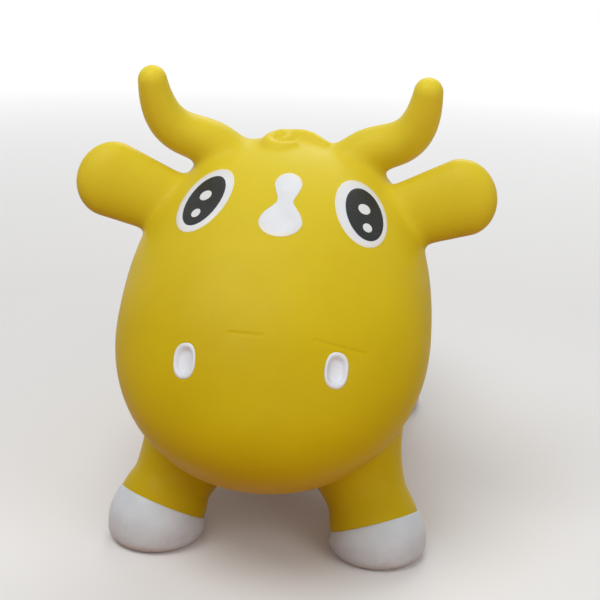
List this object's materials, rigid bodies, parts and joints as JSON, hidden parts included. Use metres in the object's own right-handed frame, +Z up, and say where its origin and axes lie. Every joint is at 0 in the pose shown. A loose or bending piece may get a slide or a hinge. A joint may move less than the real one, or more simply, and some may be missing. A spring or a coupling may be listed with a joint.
{
  "type": "inflatable ride-on hopper",
  "caption": "Inflatable cow-shaped bouncing ride-on: a hollow vinyl skin on splayed legs with painted hooves and face, horns to grip and a push-in air plug in the belly.",
  "frame": {"origin": "on the floor under the middle of the hopper's length and width", "axes": "+Z up, the cow looks along -Y, +X to the cow's own left"},
  "size_m": [0.3876, 0.5798, 0.426],
  "materials": {
    "yellow_vinyl": "satin soft vinyl",
    "white_paint": "satin vinyl paint",
    "black_paint": "satin vinyl paint",
    "valve_plastic": "smooth moulded plastic"
  },
  "bodies": {
    "hopper": {"barrel_skin": "yellow_vinyl", "head_skin": "yellow_vinyl", "leg_front_left": "yellow_vinyl", "hoof_front_left": "white_paint", "leg_rear_left": "yellow_vinyl", "hoof_rear_left": "white_paint", "horn_left": "yellow_vinyl", "ear_left": "yellow_vinyl", "leg_front_right": "yellow_vinyl", "hoof_front_right": "white_paint", "leg_rear_right": "yellow_vinyl", "hoof_rear_right": "white_paint", "horn_right": "yellow_vinyl", "ear_right": "yellow_vinyl", "tail": "yellow_vinyl", "forelock": "yellow_vinyl", "eye_white_left": "white_paint", "pupil_left": "black_paint", "eye_glint_upper_left": "white_paint", "eye_glint_lower_left": "white_paint", "nostril_left": "white_paint", "eye_white_right": "white_paint", "pupil_right": "black_paint", "eye_glint_upper_right": "white_paint", "eye_glint_lower_right": "white_paint", "nostril_right": "white_paint", "blaze": "white_paint", "valve_seat": "valve_plastic"},
    "plug": {"valve_plug": "valve_plastic"}
  },
  "joints": [
    {"name": "plug_pull", "type": "slide", "parent": "hopper", "child": "plug", "axis": [0, 0, -1], "range_m": [0, 0.034]}
  ]
}
